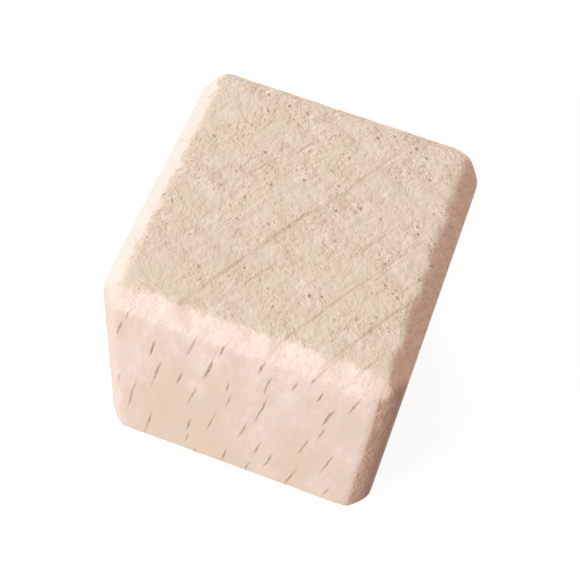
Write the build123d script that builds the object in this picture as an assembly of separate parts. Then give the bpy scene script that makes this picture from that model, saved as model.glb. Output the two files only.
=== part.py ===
from build123d import *
import os

# Sizes in millimetres
side = 15.0          # across each pair of opposite faces
bevel = 1.0          # how far each edge bevel is set back along both of its faces
corner_round = 1.0   # radius worn onto the ridges where three bevels meet at a corner
arris_round = 0.2    # radius left by sanding where a bevel meets a face
face_count = 6       # flat faces of a cube

os.makedirs("parts", exist_ok=True)


def bevelled_block():
    # A cube standing on its base, with all twelve edges bevelled at 45 degrees.
    # Bevelling one set of parallel edges at a time leaves true mitres at the corners.
    blank = Pos(0, 0, side / 2) * Box(side, side, side)
    block = blank
    for direction in (Axis.X, Axis.Y, Axis.Z):
        parallel_edges = blank.edges().filter_by(direction)
        block = block & chamfer(parallel_edges, bevel)
    return block


def rounded_corners(block):
    # The mitres are the only edges shorter than the bevel's setback.
    mitres = block.edges().filter_by(lambda edge: edge.length < bevel)
    return fillet(mitres, corner_round)


def softened_arrises(block):
    # The six flat faces are the largest plane faces, and their outlines are the arrises.
    flat_faces = block.faces().filter_by(GeomType.PLANE).sort_by(SortBy.AREA)[-face_count:]
    arrises = [edge for face in flat_faces for edge in face.outer_wire().edges()]
    return fillet(arrises, arris_round)


wooden_cube = softened_arrises(rounded_corners(bevelled_block()))
export_step(wooden_cube, "parts/wooden_cube.step")
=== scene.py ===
from functools import partial
import bpy
import numpy as np
from math import cos, pi, radians, sin
from mathutils import Matrix, Vector


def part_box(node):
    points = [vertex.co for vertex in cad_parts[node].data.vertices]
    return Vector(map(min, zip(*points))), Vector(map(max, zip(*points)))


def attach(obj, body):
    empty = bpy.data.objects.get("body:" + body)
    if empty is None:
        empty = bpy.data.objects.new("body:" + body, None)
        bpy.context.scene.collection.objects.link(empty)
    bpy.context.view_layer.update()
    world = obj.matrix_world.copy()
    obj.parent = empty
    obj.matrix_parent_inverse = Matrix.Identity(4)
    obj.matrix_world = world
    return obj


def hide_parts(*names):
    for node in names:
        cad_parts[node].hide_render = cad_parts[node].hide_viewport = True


# A small bevelled cube of beech on a white sheet.
# Lengths in the dictionaries are millimetres, and angles are degrees.

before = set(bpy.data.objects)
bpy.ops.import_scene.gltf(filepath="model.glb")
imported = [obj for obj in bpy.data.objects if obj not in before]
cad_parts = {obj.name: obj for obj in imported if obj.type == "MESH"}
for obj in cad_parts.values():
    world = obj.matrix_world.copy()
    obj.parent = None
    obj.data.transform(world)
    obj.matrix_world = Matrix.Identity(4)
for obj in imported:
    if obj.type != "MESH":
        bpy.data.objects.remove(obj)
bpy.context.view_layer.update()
mm = 0.001
blockLow, blockHigh = (np.array(corner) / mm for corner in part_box("wooden_cube"))
blockSide = float((blockHigh - blockLow).max())
blockCentre = (blockLow + blockHigh) / 2
blockTop = float(blockHigh[2])
print("frame loaded, side", round(blockSide, 3), "mm")

# How the timber lies in the block: the grain leans to the right of upright, and the rays
# run back into the block, turned to the right of straight back.
timber = dict(grainLean=10.0, rayTurn=29.6)


def timberAxes(lean, turn):
    # grain g = (sin lean, 0, cos lean); ray direction r = (sin turn, cos turn, 0) made
    # square to g; tangent t = g x r. Rows of the result are r, t and g.
    grain = np.array([sin(radians(lean)), 0.0, cos(radians(lean))])
    ray = np.array([sin(radians(turn)), cos(radians(turn)), 0.0])
    ray = ray - grain * ray.dot(grain)
    ray = ray / np.linalg.norm(ray)
    return np.stack([ray, np.cross(grain, ray), grain])


axes = timberAxes(timber["grainLean"], timber["rayTurn"])

# The block's shape
shape = dict(
    bevel=1.0,            # setback of a bevel on each face
    arris=0.055,          # softness where a bevel meets a face
    arrisRight=0.08,      # the same on the right face, which is rubbed rounder
    arrisEnd=0.085,       # and on end grain
    flatCells=94,         # grid cells between the bevels
    bevelCells=16,        # grid cells across half a bevel
    bevelStart=0.83,      # share of half a side where the finer cells start
    arrisBlend=0.5,       # half the width of the strip in which one of them gives way to another
    halvings=24,          # steps of the search for the surface
    tear=0.09,            # how far a bevel's border wanders on the top, as a share of the bevel
    drift=0.02,           # how far the other borders wander
    waves=(3.6, 2.3, 1.5),
    waveFall=0.6,         # longer waves are larger, by this power of their length
    waveGain=1.7,         # brings the sum of the waves to about -1 to 1
    seed=11,
)
# Setbacks that differ from the common one, on each of the two faces that the bevel joins. An
# edge is named after its two faces.
ownBevel = {
    "-y+z": (0.97, 0.97), "+z-x": (0.91, 0.91), "+z+x": (0.97, 0.97), "+y+z": (0.54, 0.54),
    "+x-y": (1.05, 1.05), "-x-y": (0.98, 0.98), "-y-z": (1.11, 1.11), "-z+x": (1.1, 1.0),
}
crown = {"+x-y": 0.09}    # how far the middle of a bevel stands out from a flat one
# The low corner at the front right is knocked flat, by a plane through one point of its edge
nick = dict(through=(7.5, -6.5, 1.25), outward=(0.5, -0.4, -0.77))
# Softness of the ridges where three bevels meet
cornerWear = dict(default=0.18, rightFrontLow=0.03, rightBackHigh=0.2, leftFrontLow=0.05, leftBackHigh=0.12)


def softMax(values, softness):
    # k * log(sum(exp(v / k))): the largest of the values, rounded where two of them are close
    values = np.stack(values)
    top = values.max(0)
    return top + softness * np.log(np.exp((values - top) / softness).sum(0))


def ease(value, low, high):
    # s * s * (3 - 2 s), where s runs from 0 at low to 1 at high
    s = np.clip((value - low) / (high - low), 0.0, 1.0)
    return s * s * (3 - 2 * s)


def wander(place, rng):
    # waveGain * sum(size * sin(2 pi (place / length + phase))) / sum(size), where size is
    # length^waveFall and the phases are drawn from rng
    total, full = np.zeros_like(place), 0.0
    for length in shape["waves"]:
        size = length ** shape["waveFall"]
        total = total + size * np.sin(2 * pi * (place / length + rng.random()))
        full += size
    return shape["waveGain"] * total / full


def bevelPlanes(q):
    # A bevel on the edge between faces a and b goes through (half, half - cutA) and
    # (half - cutB, half) in the two faces' axes. Its value is the distance outside the plane
    # through them, less its crown * (1 - s^2), where s is 0 in its middle and 1 at its borders.
    half = blockSide / 2
    rng = np.random.default_rng(shape["seed"])
    values = []
    for a in range(3):
        b, along = (a + 1) % 3, (a + 2) % 3
        for signA in (-1, 1):
            for signB in (-1, 1):
                names = ["-+"[signA > 0] + "xyz"[a], "-+"[signB > 0] + "xyz"[b]]
                edge = names[0] + names[1]
                amounts = [shape["tear"] if name == "+z" else shape["drift"] for name in names]
                cutA, cutB = (
                    cut * (1 + amount * wander(q[:, along], rng))
                    for cut, amount in zip(ownBevel.get(edge, [shape["bevel"]] * 2), amounts)
                )
                u, v = signA * q[:, a] - half, signB * q[:, b] - half
                span = np.hypot(cutA, cutB)
                s = ((v + cutA / 2) * cutA - (u + cutB / 2) * cutB) / (span ** 2 / 2)
                flat = (cutA * u + cutB * v + cutA * cutB) / span
                values.append(flat - crown.get(edge, 0.0) * (1 - np.minimum(s ** 2, 1.0)))
    return values


def blockField(q):
    # Above zero outside the block: the soft maximum of the six faces and of the bevels, which are
    # themselves the soft maximum of their twelve planes and the knocked corner's plane.
    wear = np.full((2, 2, 2), cornerWear["default"])
    wear[1, 0, 0], wear[1, 1, 1] = cornerWear["rightFrontLow"], cornerWear["rightBackHigh"]
    wear[0, 0, 0], wear[0, 1, 1] = cornerWear["leftFrontLow"], cornerWear["leftBackHigh"]
    octant = (q > 0).astype(int)
    knocked = (q + blockCentre - nick["through"]) @ np.array(nick["outward"])
    bevels = softMax([*bevelPlanes(q), knocked], wear[octant[:, 0], octant[:, 1], octant[:, 2]])
    faces = (np.abs(q) - blockSide / 2).max(1)
    x, y, z = q[:, 0], np.abs(q[:, 1]), np.abs(q[:, 2])
    common, blend = shape["arris"], shape["arrisBlend"]
    onEnd = ease(z - np.maximum(np.abs(x), y), -blend, blend)
    onRight = ease(x - np.maximum(y, z), -blend, blend)
    softness = common + (shape["arrisEnd"] - common) * onEnd + (shape["arrisRight"] - common) * onRight
    return softMax([faces, bevels], softness)


def latticeShell(knots):
    # Six square grids, one on each side of a cube, that share their border points. On the side
    # across an axis, grid point (i, j) has knots[i] and knots[j] on the next two axes.
    n = len(knots)
    i, j = np.meshgrid(np.arange(n), np.arange(n), indexing="ij")
    quads = []
    for axis in range(3):
        for end in (0, n - 1):
            place = [None] * 3
            place[axis], place[(axis + 1) % 3], place[(axis + 2) % 3] = np.full((n, n), end), i, j
            key = (place[0] * n + place[1]) * n + place[2]
            quad = np.stack([key[:-1, :-1], key[1:, :-1], key[1:, 1:], key[:-1, 1:]], -1).reshape(-1, 4)
            quads.append(quad if end else quad[:, ::-1])
    keys, index = np.unique(np.concatenate(quads), return_inverse=True)
    lattice = np.stack([keys // n ** 2, keys // n % n, keys % n], 1)
    return knots[lattice], index.reshape(-1, 4)


def blockSurface():
    # Each lattice point is pulled towards the centre along its ray, by halving the interval
    # between 0.5 and 1, until the block's field is zero.
    start = shape["bevelStart"]
    flat = np.linspace(-start, start, shape["flatCells"] + 1)
    fine = np.linspace(start, 1.0, shape["bevelCells"] + 1)[1:]
    rays, quads = latticeShell(np.concatenate([-fine[::-1], flat, fine]))
    rays = rays * blockSide / 2
    near, far = np.full(len(rays), 0.5), np.full(len(rays), 1.0)
    for step in range(shape["halvings"]):
        middle = (near + far) / 2
        outside = blockField(rays * middle[:, None]) > 0
        near, far = np.where(outside, near, middle), np.where(outside, middle, far)
    return rays * near[:, None] + blockCentre, quads


def meshPiece(name, points, quads):
    # points in millimetres become an object at the origin, shaded smooth
    mesh = bpy.data.meshes.new(name)
    mesh.from_pydata((points * mm).tolist(), [], quads.tolist())
    mesh.polygons.foreach_set("use_smooth", np.ones(len(mesh.polygons), bool))
    mesh.update()
    piece = bpy.data.objects.new(name, mesh)
    bpy.context.scene.collection.objects.link(piece)
    return piece


block = meshPiece("beech_block", *blockSurface())
print("block:", len(block.data.polygons) * 2, "triangles")


def linear(code):
    # sRGB hex to linear: c / 12.92 up to 0.04045, and ((c + 0.055) / 1.055) ** 2.4 above
    c = np.array([int(code[k:k + 2], 16) for k in (0, 2, 4)]) / 255
    return (*np.where(c <= 0.04045, c / 12.92, ((c + 0.055) / 1.055) ** 2.4), 1.0)


def put(tree, kind, inputs=(), **settings):
    # Adds one node: settings are its own properties, and inputs are values, or outputs to link,
    # for its sockets in order or by name. Gives back the node's outputs.
    node = tree.nodes.new("ShaderNode" + kind)
    for name, value in settings.items():
        setattr(node, name, value)
    for key, value in inputs.items() if isinstance(inputs, dict) else enumerate(inputs):
        if isinstance(value, bpy.types.NodeSocket):
            tree.links.new(value, node.inputs[key])
        else:
            node.inputs[key].default_value = value
    return node.outputs


# The beech's rays seen on the front face: across from the middle, up from the base, length, width
frontRays = [
    (-2.6, 13.0, 2.1, 0.17), (-1.1, 13.7, 1.2, 0.12), (-1.7, 11.4, 2.4, 0.16), (-4.4, 8.9, 3.0, 0.16),
    (-4.6, 11.4, 1.9, 0.15), (-6.25, 12.3, 1.4, 0.17), (-5.75, 5.5, 3.2, 0.16), (-6.5, 6.7, 1.3, 0.18),
    (-4.9, 2.8, 3.2, 0.16), (-2.5, 7.9, 2.0, 0.15), (-3.1, 9.35, 1.4, 0.12), (-2.6, 4.4, 1.5, 0.17),
    (-2.7, 2.7, 1.1, 0.12), (-1.4, 5.75, 2.3, 0.12), (-0.6, 8.9, 1.4, 0.11), (0.9, 13.4, 1.7, 0.16),
    (1.3, 11.8, 1.9, 0.12), (1.1, 9.1, 3.2, 0.12), (0.3, 6.25, 2.0, 0.16), (1.2, 4.5, 1.8, 0.16),
    (1.9, 3.5, 2.0, 0.13), (2.65, 12.7, 1.3, 0.15), (3.5, 14.1, 1.3, 0.13), (3.2, 2.5, 2.8, 0.15),
    (3.6, 6.7, 1.9, 0.16), (4.5, 10.75, 2.0, 0.17), (4.3, 8.7, 1.7, 0.11), (4.9, 5.6, 2.8, 0.11),
    (5.5, 12.9, 1.7, 0.15), (5.2, 2.3, 1.4, 0.1), (-2.25, 1.2, 1.0, 0.17), (-0.6, 2.1, 1.7, 0.14),
    (0.8, 1.8, 1.5, 0.14), (-0.7, 10.2, 1.1, 0.08), (-5.8, 13.9, 1.0, 0.09), (3.9, 12.55, 1.1, 0.09),
]
# Those that the top cuts through: across and back from the middle at both ends, length along the
# grain, width
topRays = [
    (-3.9, -7.0, 2.9, 5.0, 2.8, 0.18), (3.6, -7.4, 6.4, -2.2, 2.0, 0.12),
    (1.2, -7.4, 4.8, -0.7, 2.2, 0.13), (5.1, -7.1, 5.8, -6.0, 1.4, 0.12),
    (-1.1, -4.3, -0.3, -3.0, 0.6, 0.13), (-1.4, 3.8, -0.9, 4.7, 0.8, 0.12),
    (-3.2, 1.2, -2.4, 2.7, 0.8, 0.1), (3.4, -0.6, 4.5, 1.4, 0.8, 0.08),
]
# How far the front's rays run into the block: the high ones stop before they reach the top
deepRays = dict(reach=60.0, shallowReach=2.4, shallowAbove=12.2)
# Rays that come out on the other faces: seeded, one in each cell of a grid along the tangent and
# the grain. Along the ray direction they have a middle, and a reach to both sides of it.
hiddenRays = dict(
    left=dict(seed=5, columns=7, rows=5, tangent=(4.2, 12.0), up=(0.0, 11.5), middle=0.0, reach=60.0),
    right=dict(seed=8, columns=5, rows=3, tangent=(-9.5, -2.0), up=(6.5, 12.6), middle=9.0, reach=8.0),
    length=(1.2, 3.0), width=(0.06, 0.13),
)


def rayPlaces():
    # Each ray is a thin ellipsoid: its middle and its half sizes, in millimetres along the ray
    # direction, the tangent and the grain.
    found = []
    for across, up, length, width in frontRays:
        reach = deepRays["shallowReach"] if up > deepRays["shallowAbove"] else deepRays["reach"]
        found.append((axes @ (across, blockLow[1], up), (reach, width / 2, length / 2)))
    for across, back, toAcross, toBack, length, width in topRays:
        ends = np.array([(across, back, blockTop), (toAcross, toBack, blockTop)])
        reach = np.linalg.norm(ends[1] - ends[0]) / 2
        found.append((axes @ ends.mean(0), (reach, width / 2, length / 2)))
    for field in (hiddenRays["left"], hiddenRays["right"]):
        rng = np.random.default_rng(field["seed"])
        for column in range(field["columns"]):
            for row in range(field["rows"]):
                tangent = np.interp(column + rng.random(), (0, field["columns"]), field["tangent"])
                grain = np.interp(row + rng.random(), (0, field["rows"]), field["up"])
                width, length = rng.uniform(*hiddenRays["width"]), rng.uniform(*hiddenRays["length"])
                half = (field["reach"], width / 2, length / 2)
                found.append((np.array((field["middle"], tangent, grain)), half))
    return found


beech = dict(
    roughness=0.6, specular=0.3, ringWidth=1.35, rayWidth=0.8,
    # Slow waver of rings and rays, and their rough edges: cell sizes, and how far each goes
    waver=(
        ((6.2, 6.2, 14.0), (1.1, 0.5, 0.0)), ((1.1, 1.1, 2.0), (0.3, 0.17, 0.0)),
        ((0.2, 0.2, 0.8), (0.1, 0.1, 0.0)),
    ),
    waverDetail=1.5,
    # Noises: cell size along the rays, the tangent and the grain, detail, roughness
    noises=dict(
        ragged=((0.7, 0.7, 0.7), 3.0, 0.6), broken=((1.4, 1.1, 1.1), 3.0, 0.6),
        grit=((0.27, 0.27, 0.5), 2.0, 0.55), fibres=((0.13, 0.13, 0.9), 3.0, 0.6),
        streaks=((2.9, 0.31, 3.3), 3.0, 0.6), patches=((1.1, 1.1, 4.0), 3.0, 0.6),
        tint=((3.3, 3.3, 8.3), 2.0, 0.5), lumps=((0.38, 0.38, 1.1), 3.0, 0.6),
        clusters=((1.25, 1.25, 3.3), 2.0, 0.5), blush=((1.8, 1.8, 2.6), 2.0, 0.5),
    ),
    noiseRange=(0.3, 0.7),
    # Vessels: spacing, radius, chance past which one is wide open, share of full depth
    pores=((0.38, 0.105, 0.82, 1.0), (0.2, 0.055, 0.75, 0.4)),
    poreScatter=0.95,
    poreChance=(0.45, 0.6),    # chances between which a vessel goes from closed to half wide
    poreFade=(1.3, 0.3),       # distances, in radii, at which its dot starts and is complete
    # Directions for dot products with the normal, and with the place in millimetres
    facing=dict(faceUp=(0, 0, 1), faceRight=(1, 0, 0), faceBack=(0, 1, 0), faceTangent=tuple(axes[1])),
    places=dict(
        toRight=(1, 0, 0), toFront=(0, -1, 0), toLow=(-0.4, 0, -1), toEdge=(1, -1, 0),
        toBackRight=(1, 1, 0),
    ),
    backwards=(0.2, 0.6),    # values of faceBack between which a surface comes to face backwards
    # Sums of values, each times its share. Level surfaces are end grain, with a ragged border,
    # and so are the narrow bevels at the back. End grain is warmer towards the front and side
    # grain low down, both in soft patches.
    sums=dict(
        endLevel=dict(upright=1.0, backwards=0.2, ragged=0.24), warmth=dict(toFront=0.03, tint=1.0),
        sideWarmth=dict(toLow=0.075, tint=1.0, blush=0.4), rightward=dict(toRight=1.0, tint=1.2),
    ),
    # Soft steps: the value, where the step starts and ends, and what it goes from and to if that
    # isn't 0 and 1
    steps=dict(
        endness=("endLevel", 0.92, 1.03), bevel=("flatness", 0.92, 0.62),
        alongRays=("faceTangent", 0.4, 0.7), upwards=("faceUp", 0.3, 0.6),
        # The step on faceRight from 0 to 0.6 picks the bevels that face right, which are in shade. They get
        # a rough relief, and a darker, warmer colour that is painted shade.
        tearAndShade=("faceRight", 0.0, 0.6), turned=("faceRight", 0.6, 0.95),
        curved=("faceRight", 0.9995, 0.985), byEdge=("toEdge", 13.2, 13.9),
        lateWood=("ringPlace", 0.2, 0.8), nextRing=("ringPlace", 0.86, 1.0),
        thinRay=("nearest", 1.45, 0.3), broadRay=("nearest", 2.3, 0.4),
        warmEnd=("warmth", 0.2, 0.95), warmSide=("sideWarmth", -0.25, 0.75),
        # The atRight step marks the right side of the block. Its bevels, which are in shade, get a darker,
        # warmer colour below that is painted shade.
        atRight=("rightward", 6.3, 8.2), wideCorner=("toBackRight", -7.14, 12.86, 0.6, 1.15),
        crowd=("clusters", 0.2, 0.8, 0.2, 1.15),
    ),
    # Straight ramps: the value, where the ramp ends, what it gives at 0, and what at that end
    ramps=dict(
        whole=("broken", 0.8, 0.35, 1.0), early=("ring", 1.0, 1.0, 0.65),
        uneven=("patches", 1.0, 0.55, 1.0), shadeMottle=("lumps", 1.0, 0.5, 1.0),
        mottle=("lumps", 1.0, 0.2, 1.0), smooth=("clusters", 0.55, 1.0, 0.0),
    ),
    products=dict(
        sharpRay=("thinRay", "whole"), softRay=("broadRay", "whole"), roughGrit=("grit", "crowd"),
        pores=("dots", "wideCorner", "early", "crowd"), bevelPores=("pores", "bevel"),
        # The first mask on the next line picks the bevels that face up and to the left, towards the lamps.
        # Their paler, greyer colour is painted light.
        paleLitBevel=("alongRays", "bevel", "upwards", "uneven"), bevelSpots=("mottle", "bevel"),
        tornAndShaded=("tearAndShade", "bevel"), paintedShadeSpots=("shadeMottle", "tornAndShaded"), rightEndShade=("atRight", "bevel"),
        # The first mask on the next line is the rounded arris by the front right upright edge, where it
        # turns to face right. Its dark colour is painted shade.
        paintedEdgeShade=("byEdge", "turned", "curved"), bevelLumps=("lumps", "bevel"), tornLumps=("lumps", "tornAndShaded"),
    ),
    flecks=dict(onFace=0.8, onBevel=0.3),
    # End grain: its light and dark tones, how much each value darkens it, the colours laid over
    # that and the most that each covers, and the relief in millimetres
    end=dict(
        light="F4E2D2", dark="DBC3AD", start=-0.2,
        tone=dict(ring=0.3, streaks=0.38, patches=0.36, grit=0.13, roughGrit=0.28, lumps=0.2),
        coats=dict(
            warmEnd=("E6D3B8", 0.6), blush=("EACDBE", 0.34), smooth=("E2D5C5", 0.24),
            softRay=("C7A082", 0.6), pores=("A57C58", 0.65),
        ),
        relief=dict(pores=-0.07, grit=0.01, roughGrit=0.02, lumps=0.027, softRay=-0.01),
    ),
    # Side grain and the bevels, in the same way
    side=dict(
        light="FFE9DE", dark="F2D5C5", start=-0.2,
        tone=dict(fibres=0.3, patches=0.6, lumps=0.5),
        coats=dict(
            warmSide=("ECD5BE", 0.75), smooth=("ECDACD", 0.3), bevelSpots=("F0D6C9", 1.0),
            # The E1BAA0 coat is painted shade, mottled, on the bevels that face right.
            # The E4CFBA coat is painted shade on the bevels on the right side.
            # The EAE1D6 coat is that painted light on the bevels that face up and to the left.
            rightEndShade=("E4CFBA", 0.6), paleLitBevel=("EAE1D6", 0.95), paintedShadeSpots=("E1BAA0", 1.0),
            # The 8A6653 coat is painted shade on that arris by the front right upright edge.
            paintedEdgeShade=("8A6653", 0.6), bevelPores=("A57C58", 0.3), flecks=("A57B63", 1.0),
        ),
        relief=dict(fibres=0.004, sharpRay=-0.01, bevelLumps=0.026, tornLumps=0.03),
    ),
)


def cells(node, point, sizes):
    # point divided by the cell sizes along the rays, the tangent and the grain
    return node("VectorMath", (point, tuple(1 / size for size in sizes)), operation="MULTIPLY")[0]


def wavyPlace(node, inWood):
    # inWood + sum over the wavers of (noise - 0.5) * reach
    wavy = inWood
    for sizes, reach in beech["waver"]:
        cell = {"Vector": cells(node, inWood, sizes), "Scale": 1.0, "Detail": beech["waverDetail"]}
        swing = node("TexNoise", cell)["Color"]
        swing = node("VectorMath", (swing, (0.5, 0.5, 0.5)), operation="SUBTRACT")[0]
        wavy = node("VectorMath", (swing, reach, wavy), operation="MULTIPLY_ADD")[0]
    return wavy


def nearestRay(node, wavy):
    # The least of the distances to each ray's middle, counted in that ray's own half sizes
    nearest = 100.0
    for middle, half in rayPlaces():
        scale = 1 / (np.array(half) * (1.0, beech["rayWidth"], 1.0))
        away = node("VectorMath", (wavy, tuple(scale), tuple(-middle * scale)), operation="MULTIPLY_ADD")[0]
        away = node("VectorMath", (away,), operation="LENGTH")[1]
        nearest = node("Math", (nearest, away), operation="MINIMUM")[0]
    return nearest


def vesselDots(node, wavy):
    # Sum over both sizes of vessel of fade(distance / size) * share * ease(size / radius). Size is
    # radius * (ease(chance, poreChance) + ease(chance, opened, 1)) / 2, so that few are wide open
    # and half are closed.
    dots = 0.0
    for spacing, radius, opened, share in beech["pores"]:
        cell = {"Vector": cells(node, wavy, (spacing,) * 3), "Scale": 1.0}
        cell["Randomness"] = beech["poreScatter"]
        found = node("TexVoronoi", cell, voronoi_dimensions="2D")
        chance = node("SeparateColor", (found["Color"],))[0]
        sizes = []
        for low, high in (beech["poreChance"], (opened, 1.0)):
            limits = (chance, low, high, 0.0, radius / 2)
            sizes.append(node("MapRange", limits, interpolation_type="SMOOTHSTEP")[0])
        size = node("Math", sizes, operation="ADD")[0]
        away = node("Math", (found["Distance"], spacing), operation="MULTIPLY")[0]
        away = node("Math", (away, size), operation="DIVIDE")[0]
        dot = node("MapRange", (away, *beech["poreFade"]), interpolation_type="SMOOTHSTEP")[0]
        there = node("MapRange", (size, 0.0, radius, 0.0, share), interpolation_type="SMOOTHSTEP")[0]
        dots = node("Math", (dot, there, dots), operation="MULTIPLY_ADD")[0]
    return dots


def weighted(node, value, shares, start):
    # start + the sum of each named value times its share
    total = start
    for name, share in shares.items():
        total = node("Math", (value[name], share, total), operation="MULTIPLY_ADD")[0]
    return total


def timberValues(node):
    # Every pattern of the wood as a dictionary of outputs by name. Places are in millimetres along
    # the rays, the tangent and the grain, or along x, y and z. Most of the others run from 0 to 1.
    b = beech
    place, normal = (node("TexCoord")[name] for name in ("Object", "Normal"))
    turn = Matrix(axes.tolist()).to_euler("XYZ")
    inWood = node("Mapping", {"Vector": place, "Rotation": turn, "Scale": (1 / mm,) * 3})[0]
    wavy = wavyPlace(node, inWood)
    value = dict(nearest=nearestRay(node, wavy), dots=vesselDots(node, wavy))
    for name, (sizes, detail, rough) in b["noises"].items():
        cell = {"Vector": cells(node, inWood, sizes), "Scale": 1.0, "Detail": detail, "Roughness": rough}
        raw = node("TexNoise", cell)[0]
        value[name] = node("MapRange", (raw, *b["noiseRange"]), interpolation_type="SMOOTHSTEP")[0]
    for name, direction in b["facing"].items():
        value[name] = node("VectorMath", (normal, direction), operation="DOT_PRODUCT")[1]
    for name, direction in b["places"].items():
        perMetre = tuple(part / mm for part in direction)
        value[name] = node("VectorMath", (place, perMetre), operation="DOT_PRODUCT")[1]
    value["upright"] = node("Math", (value["faceUp"],), operation="ABSOLUTE")[0]
    backwards = (value["faceBack"], *b["backwards"])
    value["backwards"] = node("MapRange", backwards, interpolation_type="SMOOTHSTEP")[0]

    # x^4 + y^4 + z^4 of the normal is 1 on a face and 1/2 in the middle of a bevel
    square = node("VectorMath", (normal, normal), operation="MULTIPLY")[0]
    value["flatness"] = node("VectorMath", (square, square), operation="DOT_PRODUCT")[1]

    # Place in a growth ring, from 0 to 1 along the ray direction
    rings = node("VectorMath", (wavy, (1 / b["ringWidth"], 0.0, 0.0)), operation="DOT_PRODUCT")[1]
    value["ringPlace"] = node("Math", (rings,), operation="FRACT")[0]

    for name, shares in b["sums"].items():
        value[name] = weighted(node, value, shares, 0.0)
    for name, (source, *limits) in b["steps"].items():
        value[name] = node("MapRange", (value[source], *limits), interpolation_type="SMOOTHSTEP")[0]
    value["ring"] = node("Math", (value["lateWood"], value["nextRing"]), operation="SUBTRACT")[0]
    for name, (source, top, low, high) in b["ramps"].items():
        value[name] = node("MapRange", (value[source], 0.0, top, low, high))[0]
    for name, (first, *others) in b["products"].items():
        product = value[first]
        for other in others:
            product = node("Math", (product, value[other]), operation="MULTIPLY")[0]
        value[name] = product
    onFace = node("Math", (value["sharpRay"], b["flecks"]["onFace"]), operation="MULTIPLY")[0]
    onBevel = node("Math", (value["softRay"], b["flecks"]["onBevel"]), operation="MULTIPLY")[0]
    value["flecks"] = node("Mix", {0: value["bevel"], 2: onFace, 3: onBevel})[0]
    return value


def colourAndRelief(node, value, grain):
    # From light to dark by the weighted sum of tones, then each coat mixed over what is there by
    # its value times its share. Relief is the weighted sum of heights.
    tone = weighted(node, value, grain["tone"], grain["start"])
    tones = {0: tone, 6: linear(grain["light"]), 7: linear(grain["dark"])}
    colour = node("Mix", tones, data_type="RGBA")[2]
    for name, (code, share) in grain["coats"].items():
        amount = node("Math", (value[name], share), operation="MULTIPLY")[0]
        colour = node("Mix", {0: amount, 6: colour, 7: linear(code)}, data_type="RGBA")[2]
    return colour, weighted(node, value, grain["relief"], 0.0)


def beechMaterial():
    # Sanded, unfinished beech. Side grain is pale pinkish tan with short dark ray flecks and soft
    # fibres. End grain is a little darker, with pitted vessels, soft rings and fine lines of rays
    # across them. Bevels are cut, so they are smoother, and torn where they run against the grain.
    # The bevels on the right side and those that face right are painted darker and warmer, and the
    # arris by the front right upright edge darker still: painted shade. The bevels that face up and
    # to the left are painted paler and greyer: painted light.
    # All of it is noise, rings, dots and ray sheets, set along the timber's own axes.
    material = bpy.data.materials.new("beech")
    material.use_nodes = True
    tree = material.node_tree
    tree.nodes.clear()
    node = partial(put, tree)
    value = timberValues(node)
    endColour, endHeight = colourAndRelief(node, value, beech["end"])
    sideColour, sideHeight = colourAndRelief(node, value, beech["side"])
    colour = node("Mix", {0: value["endness"], 6: sideColour, 7: endColour}, data_type="RGBA")[2]
    height = node("Mix", {0: value["endness"], 2: sideHeight, 3: endHeight})[0]
    bump = node("Bump", {"Height": height, "Distance": mm, "Strength": 1.0})[0]
    finish = {"Roughness": beech["roughness"], "Specular IOR Level": beech["specular"]}
    wood = node("BsdfPrincipled", {"Base Color": colour, "Normal": bump, **finish})[0]
    node("OutputMaterial", {"Surface": wood})
    return material


block.data.materials.append(beechMaterial())
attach(block, "root")
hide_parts("wooden_cube")
print("beech: done")

# The floor: its size, its colour as it is seen and as it lights the cube, and the share and the
# strength of the plain white in what is seen
sheet = dict(size=3000.0, seen="F4F4F2", bounce="A0847C", whiteShare=0.87, white=1.04)
# Each lamp's vector points to it, and its length is the share of full light that it gives
lamps = dict(
    key=(-0.50, -0.66, 0.36), side=(-0.22, 0.40, 0.14), top=(0.04, 0.0, 0.15),
    rear=(0.09, 0.16, 0.02),
    colour="EBFAFF", distance=500.0, size=200.0,
)
sky = dict(level=0.42, colour="FFE6D6")    # what lights the cube from all around
# The camera stands just to the left of the right face's plane, so that face is out of sight
look = dict(
    place=(7.395, -34.071, 65.997), aim=(-0.03, 0.316, 7.69), roll=8.787,
    lens=79.50, sensor=36.0, clip=(1.0, 20000.0),
)


def seenDirectly(tree):
    # 1 for what the camera sees, also in a reflection or through glass, and 0 for light that falls
    # on things
    path = put(tree, "LightPath")
    seen = put(tree, "Math", {0: path["Is Camera Ray"], 1: path["Is Glossy Ray"]}, operation="MAXIMUM")[0]
    return put(tree, "Math", {0: seen, 1: path["Is Transmission Ray"]}, operation="MAXIMUM")[0]


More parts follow.
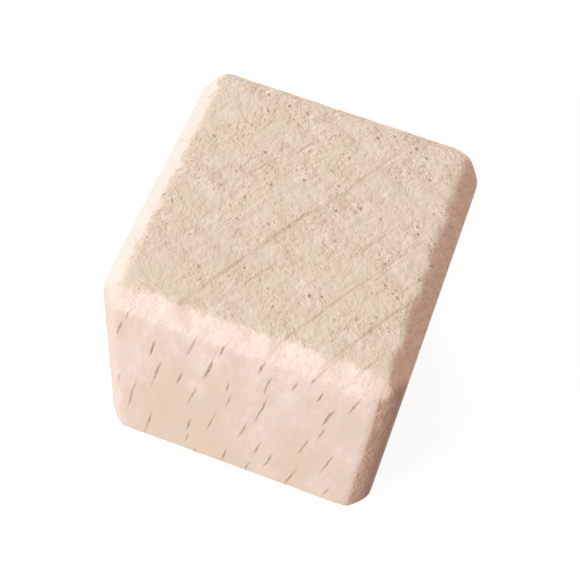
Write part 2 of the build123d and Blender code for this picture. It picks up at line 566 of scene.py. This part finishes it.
def whiteSheet():
    # The floor looks paper-white, with the cube's shadow in its diffuse share. What it throws back
    # at the cube is dim and warm.
    half = sheet["size"] / 2
    corners = half * np.array([(-1, -1, 0), (1, -1, 0), (1, 1, 0), (-1, 1, 0)])
    floor = meshPiece("floor_sheet", corners, np.array([[0, 1, 2, 3]]))
    material = bpy.data.materials.new("white_paper")
    material.use_nodes = True
    tree = material.node_tree
    tree.nodes.clear()
    seen = seenDirectly(tree)
    share = put(tree, "Math", {0: seen, 1: sheet["whiteShare"]}, operation="MULTIPLY")[0]
    tones = {0: seen, 6: linear(sheet["bounce"]), 7: linear(sheet["seen"])}
    paper = put(tree, "BsdfDiffuse", {"Color": put(tree, "Mix", tones, data_type="RGBA")[2]})[0]
    white = put(tree, "Emission", {"Color": (1, 1, 1, 1), "Strength": sheet["white"]})[0]
    put(tree, "OutputMaterial", {"Surface": put(tree, "MixShader", {0: share, 1: paper, 2: white})[0]})
    floor.data.materials.append(material)
    return floor


def softLamp(name, vector):
    # A disk that faces the cube. Power P at distance d lights a facing surface to P / (pi * d)^2
    # of its own colour, so P = share * (pi * d)^2.
    distance = lamps["distance"] * mm
    data = bpy.data.lights.new(name, "AREA")
    data.shape, data.size = "DISK", lamps["size"] * mm
    data.color = linear(lamps["colour"])[:3]
    data.energy = Vector(vector).length * (pi * distance) ** 2
    lamp = bpy.data.objects.new(name, data)
    lamp.location = Vector(blockCentre * mm) + Vector(vector).normalized() * distance
    lamp.rotation_euler = Vector(vector).to_track_quat("Z", "Y").to_euler()
    bpy.context.scene.collection.objects.link(lamp)


def warmSky():
    # Even, slightly warm light from all around, which the camera sees as white
    world = bpy.data.worlds.new("studio")
    bpy.context.scene.world = world
    world.use_nodes = True
    tree = world.node_tree
    tree.nodes.clear()
    light = put(tree, "Background", {"Color": linear(sky["colour"]), "Strength": sky["level"]})[0]
    white = put(tree, "Background", {"Color": (1, 1, 1, 1), "Strength": 1.0})[0]
    either = put(tree, "MixShader", {0: seenDirectly(tree), 1: light, 2: white})[0]
    put(tree, "OutputWorld", {"Surface": either})


def photoCamera():
    # Looks from place to aim, and then rolls about its own line of sight
    data = bpy.data.cameras.new("camera")
    data.lens, data.sensor_width = look["lens"], look["sensor"]
    data.clip_start, data.clip_end = (distance * mm for distance in look["clip"])
    camera = bpy.data.objects.new("camera", data)
    place, aim = Vector(look["place"]) * mm, Vector(look["aim"]) * mm
    turn = (aim - place).to_track_quat("-Z", "Y").to_matrix()
    turn = turn @ Matrix.Rotation(radians(look["roll"]), 3, "Z")
    camera.matrix_world = Matrix.Translation(place) @ turn.to_4x4()
    bpy.context.scene.collection.objects.link(camera)
    bpy.context.scene.camera = camera


whiteSheet()
for lampName in ("key", "side", "top", "rear"):
    softLamp(lampName, lamps[lampName])
warmSky()
photoCamera()
bpy.context.scene.view_settings.view_transform = "Standard"
print("stage, lamps and camera: done")
